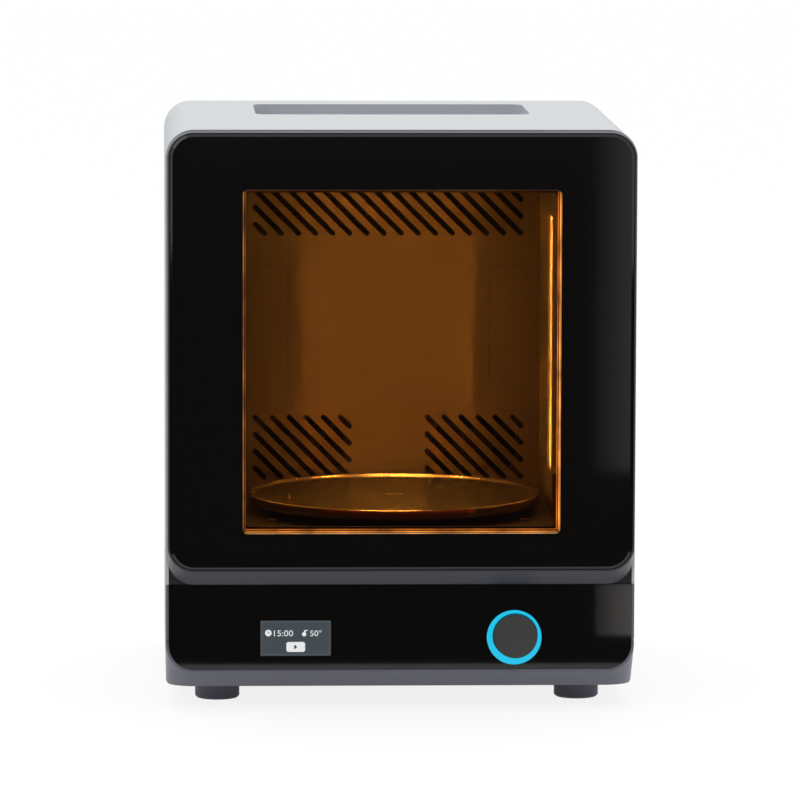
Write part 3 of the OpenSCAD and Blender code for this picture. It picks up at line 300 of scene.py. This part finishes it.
def box_wall_painted_shade(m, base):
    """The white light box with painted shade: darker half way up its height."""
    tree = m.node_tree
    _, _, z = place(tree)
    off = calc(tree, "DIVIDE", calc(tree, "ABSOLUTE", calc(tree, "SUBTRACT", z, BOX_MID_Z)), BOX_HALF_H)
    share = calc(tree, "MULTIPLY_ADD", calc(tree, "MULTIPLY", off, off), BOX_END_RISE, BOX_MID_SHARE)
    tree.links.new(blend(tree, share, (0.0, 0.0, 0.0, 1.0), base), principled(m).inputs["Base Color"])
    return m


SCREEN_MID_X, SCREEN_MID_Z = -0.0652, 0.0451
SCREEN_HALF_W, SCREEN_HALF_H = 0.0217, 0.0109
SCREEN_EDGE = 0.0009
SCREEN_LEVEL = 0.8
SCREEN_EDGE_RISE = 0.25


def screen_glow(m, colour):
    """A lit display, a little paler along its edge."""
    tree = m.node_tree
    x, _, z = place(tree)
    off_x = calc(tree, "ABSOLUTE", calc(tree, "SUBTRACT", x, SCREEN_MID_X))
    off_z = calc(tree, "ABSOLUTE", calc(tree, "SUBTRACT", z, SCREEN_MID_Z))
    to_side = calc(tree, "SUBTRACT", SCREEN_HALF_W, off_x)
    to_end = calc(tree, "SUBTRACT", SCREEN_HALF_H, off_z)
    edge = calc(tree, "LESS_THAN", calc(tree, "MINIMUM", to_side, to_end), SCREEN_EDGE)
    principled(m).inputs["Emission Color"].default_value = colour
    strength = calc(tree, "MULTIPLY_ADD", edge, SCREEN_EDGE_RISE, SCREEN_LEVEL)
    tree.links.new(strength, principled(m).inputs["Emission Strength"])
    return m


RECESS_TOP_Z = 0.3623
RECESS_HALF_W = 0.0895
RECESS_REAR_Y = 0.107
RECESS_BLUE = 1.06


def shaded_recess(m, base, share):
    """The white shell with painted shade inside the storage recess: darker and a little bluer there."""
    tree = m.node_tree
    x, y, z = place(tree)
    below = calc(tree, "LESS_THAN", z, RECESS_TOP_Z)
    inside = calc(tree, "LESS_THAN", calc(tree, "ABSOLUTE", x), RECESS_HALF_W)
    ahead = calc(tree, "LESS_THAN", y, RECESS_REAR_Y)
    within = calc(tree, "MULTIPLY", calc(tree, "MULTIPLY", below, inside), ahead)
    darker = (base[0] * share, base[1] * share, base[2] * share * RECESS_BLUE, 1.0)
    tree.links.new(blend(tree, within, base, darker), principled(m).inputs["Base Color"])
    return m


SHELL = linear((194, 197, 198))
BARE = linear((84, 79, 73))
BOX = linear((232, 230, 222))
LED_LIGHT = (1.0, 0.97, 0.86, 1.0)
WHITE = shaded_recess(material("white_shell", SHELL, 0.5, spec=0.3, grain=0.12, scale=1400), SHELL, 0.9)
GREY = material("grey_shell", linear((99, 100, 111)), 0.36, grain=0.1, scale=1400)
# The door frame's grey is the body's grey paint made darker: painted shade on its down-facing chin
GREY_SHADED_DOOR = material("grey_door_painted_shade", linear((60, 59, 67)), 0.3, grain=0.1, scale=1400)
MATTE = material("matte_black", linear((24, 24, 26)), 0.55, spec=0.3, grain=0.15)
# Near black for the air duct and the fans behind the air slots: painted shade, so the slots read dark
SHADE_BLACK = material("painted_shade_black", linear((14, 13, 12)), 0.8, spec=0.05, grain=0.1)
GLOSS = material("gloss_black", linear((8, 7, 6)), 0.05)
STEEL = material("steel", linear((180, 178, 174)), 0.32, metal=1.0, grain=0.1)
CHAMBER = scribed(material("chamber", BARE, 0.42, metal=0.15, spec=0.3, grain=0.08, scale=500), BARE)
TABLE = material("turntable", linear((222, 216, 204)), 0.2, metal=1.0, grain=0.03)
ALLOY = material("aluminium", linear((196, 198, 202)), 0.35, metal=1.0, grain=0.1)
BRASS = material("brass", linear((205, 170, 95)), 0.3, metal=1.0, grain=0.05)
RUBBER = material("rubber", linear((112, 112, 123)), 0.7, grain=0.3)
BOARD = material("pcb", linear((28, 96, 52)), 0.4, grain=0.1)
PLASTIC = box_wall_painted_shade(material("white_plastic", BOX, 0.5, grain=0.1), BOX)
SCREEN = screen_glow(material("display", linear((20, 22, 24)), 0.12, spec=0.3), linear((73, 81, 86)))
RING = glow(material("ring_light", linear((4, 50, 66)), 0.4), linear((6, 194, 232)), 0.95)
KNOB = material("knob", linear((53, 53, 52)), 0.45, grain=0.1)
LED_BOARD = front_line_glow(material("led_board", linear((235, 233, 225)), 0.5), LED_LIGHT, 5.0, 600.0)
LED_CHIP = glow(material("led_chip", linear((240, 225, 150)), 0.4), LED_LIGHT, 14.0)
AMBER = amber_pane("amber")
PRINT = glow(material("screen_print", linear((30, 31, 32)), 0.4), linear((236, 238, 240)), 0.9)
DARK = material("screen_dark", linear((30, 32, 34)), 0.4)

LOOKS = {
    "white_shell": WHITE,
    "grey_shell": GREY,
    "matte_black": MATTE,
    "gloss_black": GLOSS,
    "display": SCREEN,
    "ring_light": RING,
    "knob": KNOB,
    "amber": AMBER,
    "chamber": CHAMBER,
    "turntable": TABLE,
    "steel": STEEL,
    "aluminium": ALLOY,
    "brass": BRASS,
    "rubber": RUBBER,
    "pcb": BOARD,
    "white_plastic": PLASTIC,
    "led_board": LED_BOARD,
    "led_chip": LED_CHIP,
}
# Pieces that look unlike the rest of their slot; the darker copies here are painted shade
OWN_LOOKS = {
    "door_frame": GREY_SHADED_DOOR,
    "air_duct": SHADE_BLACK,
    "fan_frames": SHADE_BLACK,
    "fan_rotor_left": SHADE_BLACK,
    "fan_rotor_right": SHADE_BLACK,
}
for part in frame["record"]["subparts"]:
    slots = nodes[part["node"]].data.materials
    slots.clear()
    slots.append(OWN_LOOKS.get(part["node"], LOOKS[part["material_slot"]]))


# ---------------------------------------------------------------- turntable with its rounded lip
SHARP = math.radians(38)


def lathe(name, outline, centre, steps):
    """Turns a closed outline of (radius, height) points in mm about a vertical axis."""
    mesh = bpy.data.meshes.new(name)
    verts = []
    faces = []
    n = len(outline)
    for k in range(steps):
        a = 2 * math.pi * k / steps
        for r, z in outline:
            verts.append((centre[0] + r * math.sin(a) / 1000, centre[1] + r * math.cos(a) / 1000, z / 1000))
    for k in range(steps):
        for i in range(n):
            j = (i + 1) % n
            q = (k + 1) % steps
            faces.append((k * n + i, k * n + j, q * n + j, q * n + i))
    mesh.from_pydata(verts, [], faces)
    mesh.update()
    o = bpy.data.objects.new(name, mesh)
    scene.collection.objects.link(o)
    work = bmesh.new()
    work.from_mesh(mesh)
    bmesh.ops.recalc_face_normals(work, faces=work.faces)
    work.to_mesh(mesh)
    work.free()
    mesh.shade_smooth()
    mesh.set_sharp_from_angle(angle=SHARP)
    return o


def arc(cx, cy, r, a0, a1, steps):
    """Points on a circle from angle a0 to a1 in degrees, both ends included."""
    out = []
    for i in range(steps + 1):
        a = math.radians(a0 + (a1 - a0) * i / steps)
        out.append((cx + r * math.cos(a), cy + r * math.sin(a)))
    return out


DISC_CENTRE = (0.0, -0.0295)
BORE_R = 3.02
HUB_R = 12.0
HUB_BOTTOM = 114.3
DISC_BOTTOM = 117.7
SEAT_R = 5.6
SEAT_TOP = 121.7
PLATE_TOP = 122.7
DISC_R = 93.0
DISC_EDGE_R = 1.0
LIP_R = 0.8
LIP_HEIGHT = 123.2
LIP_INNER_R = 90.6

disc_outline = [(BORE_R, HUB_BOTTOM), (HUB_R, HUB_BOTTOM), (HUB_R, DISC_BOTTOM)]
disc_outline += arc(DISC_R - DISC_EDGE_R, DISC_BOTTOM + DISC_EDGE_R, DISC_EDGE_R, -90, 0, 5)
disc_outline += arc(DISC_R - LIP_R, LIP_HEIGHT, LIP_R, 0, 180, 12)
disc_outline += arc(LIP_INNER_R, PLATE_TOP + LIP_R, LIP_R, 0, -90, 6)[1:]
disc_outline += [(SEAT_R, PLATE_TOP), (SEAT_R, SEAT_TOP), (BORE_R, SEAT_TOP)]
disc = lathe("turntable_disc", disc_outline, DISC_CENTRE, 192)
disc.data.materials.append(TABLE)
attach(disc, "turntable")
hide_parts("turntable")

# ---------------------------------------------------------------- picture on the display
FACE = -0.13050
LIFT = 0.00004
FIGURE_HALF_DEPTH = 0.00001


def flat(name, outline, layer, look):
    """A thin plate on the display from an outline in mm. Layer 1 lies on the glass, and layer 2 on layer 1."""
    curve = bpy.data.curves.new(name, "CURVE")
    curve.dimensions = "2D"
    curve.fill_mode = "BOTH"
    line = curve.splines.new("POLY")
    line.points.add(len(outline) - 1)
    for i, (x, z) in enumerate(outline):
        line.points[i].co = (x / 1000, z / 1000, 0.0, 1.0)
    line.use_cyclic_u = True
    curve.extrude = LIFT / 2
    return stand(name, curve, FACE - (layer - 0.5) * LIFT, look)


def stand(name, curve, mid, look, fit=None):
    """Stands a flat curve or text up as a mesh at depth mid; fit is its box on the display."""
    temp = bpy.data.objects.new(name + "_curve", curve)
    scene.collection.objects.link(temp)
    bpy.context.view_layer.update()
    mesh = bpy.data.meshes.new_from_object(temp.evaluated_get(bpy.context.evaluated_depsgraph_get()))
    bpy.data.objects.remove(temp)
    xs = [v.co.x for v in mesh.vertices]
    ys = [v.co.y for v in mesh.vertices]
    for v in mesh.vertices:
        x, z = v.co.x, v.co.y
        if fit:
            x = (fit[0] + (x - min(xs)) / (max(xs) - min(xs)) * (fit[1] - fit[0])) / 1000
            z = (fit[2] + (z - min(ys)) / (max(ys) - min(ys)) * (fit[3] - fit[2])) / 1000
        v.co = (x, mid - v.co.z, z)
    mesh.update()
    o = bpy.data.objects.new(name, mesh)
    scene.collection.objects.link(o)
    mesh.materials.clear()
    mesh.materials.append(look)
    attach(o, "case")
    return o


def figures(name, body, fit):
    """Plain figures that fill the given box on the display."""
    curve = bpy.data.curves.new(name, "FONT")
    curve.body = body
    curve.size = 0.005
    curve.extrude = FIGURE_HALF_DEPTH
    return stand(name, curve, FACE - FIGURE_HALF_DEPTH, PRINT, fit)


def ring_of(cx, cz, r, steps=32):
    """Points around a whole circle."""
    return arc(cx, cz, r, 0.0, 360.0, steps)[:-1]


def box_of(x0, x1, z0, z1, r, steps=6):
    """A rectangle with round corners."""
    out = []
    for cx, cz, a in ((x1 - r, z1 - r, 0), (x0 + r, z1 - r, 90), (x0 + r, z0 + r, 180), (x1 - r, z0 + r, 270)):
        out += arc(cx, cz, r, a, a + 90, steps)
    return out


def bar_of(p, q, w):
    """A straight bar with square ends between two points."""
    dx, dz = q[0] - p[0], q[1] - p[1]
    length = math.hypot(dx, dz)
    nx, nz = -dz / length * w / 2, dx / length * w / 2
    return [(p[0] + nx, p[1] + nz), (p[0] - nx, p[1] - nz), (q[0] - nx, q[1] - nz), (q[0] + nx, q[1] + nz)]


CLOCK = (-82.29, 48.41)
FIGURES_Z = (46.35, 50.1)
flat("clock_face", ring_of(*CLOCK, 2.05), 1, PRINT)
flat("clock_hand_a", bar_of((CLOCK[0], 48.3), (CLOCK[0], 49.5), 0.36), 2, DARK)
flat("clock_hand_b", bar_of((-82.4, CLOCK[1]), (-81.35, CLOCK[1]), 0.36), 2, DARK)
figures("time_figures", "15:00", (-78.8, -66.9, *FIGURES_Z))
flat("bulb", ring_of(-60.0, 47.6, 1.35), 1, PRINT)
flat("stem", bar_of((-59.95, 47.8), (-59.3, 50.2), 1.15), 2, PRINT)
flat("tick", bar_of((-58.7, 50.05), (-57.7, 50.05), 0.55), 1, PRINT)
figures("heat_figures", "50\u00b0", (-56.3, -49.2, *FIGURES_Z))
flat("start_key", box_of(-71.04, -59.36, 36.49, 42.73, 1.4), 1, PRINT)
flat("start_sign", [(-66.15, 41.2), (-66.15, 38.0), (-64.25, 39.6)], 2, DARK)


# ---------------------------------------------------------------- studio
def plane(name, size, location, rotation=(0, 0, 0)):
    """A flat sheet of the studio, which isn't part of the object."""
    bpy.ops.mesh.primitive_plane_add(size=1, location=location, rotation=rotation)
    o = bpy.context.object
    o.name = name
    o.scale = (size[0], size[1], 1)
    return o


def seen(tree):
    """One for rays from the camera and for those that come by way of metal or glass."""
    path = tree.nodes.new("ShaderNodeLightPath")
    mirrored = calc(tree, "ADD", path.outputs["Is Glossy Ray"], path.outputs["Is Transmission Ray"])
    return calc(tree, "MINIMUM", calc(tree, "ADD", path.outputs["Is Camera Ray"], mirrored), 1.0)


# The floor is mostly white of its own, and keeps the object's shadow in the rest
FLOOR_WHITE = 1.04
FLOOR_OWN_SHARE = 0.82
floor = plane("floor", (30, 30), (0, 0, 0))
ground = material("floor", (0.9, 0.9, 0.9, 1.0), 0.9, spec=0.0)
tree = ground.node_tree
pale = tree.nodes.new("ShaderNodeEmission")
pale.inputs["Color"].default_value = (1.0, 1.0, 1.0, 1.0)
pale.inputs["Strength"].default_value = FLOOR_WHITE
share = calc(tree, "MULTIPLY", seen(tree), FLOOR_OWN_SHARE)
both = mix_shaders(tree, share, principled(ground).outputs["BSDF"], pale.outputs["Emission"])
tree.links.new(both, tree.nodes["Material Output"].inputs["Surface"])
floor.data.materials.append(ground)


CARD_EDGE = -0.5
CARD_FULL = -0.1


def card(name, size, location, rotation, low, high):
    """A studio card that only mirrors see; its light rises from low at its left end to high over most of it."""
    o = plane(name, size, location, rotation)
    m, tree, surface = bare_material(name)
    x, _, _ = place(tree)
    lamp = tree.nodes.new("ShaderNodeEmission")
    lamp.inputs["Color"].default_value = (1.0, 0.96, 0.93, 1.0)
    tree.links.new(spread(tree, x, low, high, from_min=CARD_EDGE, from_max=CARD_FULL), lamp.inputs["Strength"])
    tree.links.new(lamp.outputs["Emission"], surface)
    o.data.materials.append(m)
    o.visible_camera = False
    o.visible_diffuse = False
    o.visible_shadow = False
    o.visible_transmission = False
    o.visible_volume_scatter = False
    return o


LEVEL = (0, 0, 0)
UPRIGHT = (math.radians(90), 0, 0)
card("black_flag", (5.0, 5.7), (0.0, -3.15, 0.002), LEVEL, 0.06, 0.06)
card("side_card", (0.09, 0.34), (0.238, -1.14, 0.195), UPRIGHT, 0.15, 0.75)
card("low_card", (0.06, 0.036), (0.173, -0.42, 0.019), UPRIGHT, 0.35, 1.5)

# The world is white where it is seen, and lights the object from above and behind more than from the front
world = bpy.data.worlds.new("studio")
scene.world = world
world.use_nodes = True
tree = world.node_tree
tree.nodes.clear()
out = tree.nodes.new("ShaderNodeOutputWorld")
soft = tree.nodes.new("ShaderNodeBackground")
soft.inputs["Color"].default_value = (0.97, 0.98, 1.0, 1.0)
_, y, z = split(tree, "ShaderNodeTexCoord", "Generated")
rise = spread(tree, z, 0.35, 1.3, from_min=0.0, from_max=0.9)
ahead = spread(tree, y, 0.45, 1.0, from_min=-1.0, from_max=0.2)
tree.links.new(calc(tree, "MULTIPLY", rise, ahead), soft.inputs["Strength"])
white = tree.nodes.new("ShaderNodeBackground")
white.inputs["Color"].default_value = (1.0, 1.0, 1.0, 1.0)
white.inputs["Strength"].default_value = 1.0
both = mix_shaders(tree, seen(tree), soft.outputs["Background"], white.outputs["Background"])
tree.links.new(both, out.inputs["Surface"])


def softbox(name, size, location, aim, power, colour=(1, 1, 1)):
    """A rectangular lamp that points at a place."""
    data = bpy.data.lights.new(name, "AREA")
    data.shape = "RECTANGLE"
    data.size = size[0]
    data.size_y = size[1]
    data.energy = power
    data.color = colour
    o = bpy.data.objects.new(name, data)
    o.location = location
    o.rotation_euler = (Vector(aim) - Vector(location)).to_track_quat("-Z", "Y").to_euler()
    scene.collection.objects.link(o)
    return o


softbox("top_light", (1.6, 1.2), (0.0, 0.1, 1.9), (0, 0, 0.2), 9)
softbox("front_light", (1.2, 1.2), (-1.4, -2.0, 1.6), (0, 0, 0.2), 5)
# A small lamp under the chamber's roof, which only gives the turntable's lip its shine
ROOF_LAMP = (-0.01, -0.03, 0.3325)
BELOW_IT = (-0.01, -0.029, 0.1)
lip_light = softbox("chamber_light", (0.10, 0.07), ROOF_LAMP, BELOW_IT, 1.6, (0.8, 1.0, 0.95))
lip_light.visible_diffuse = False
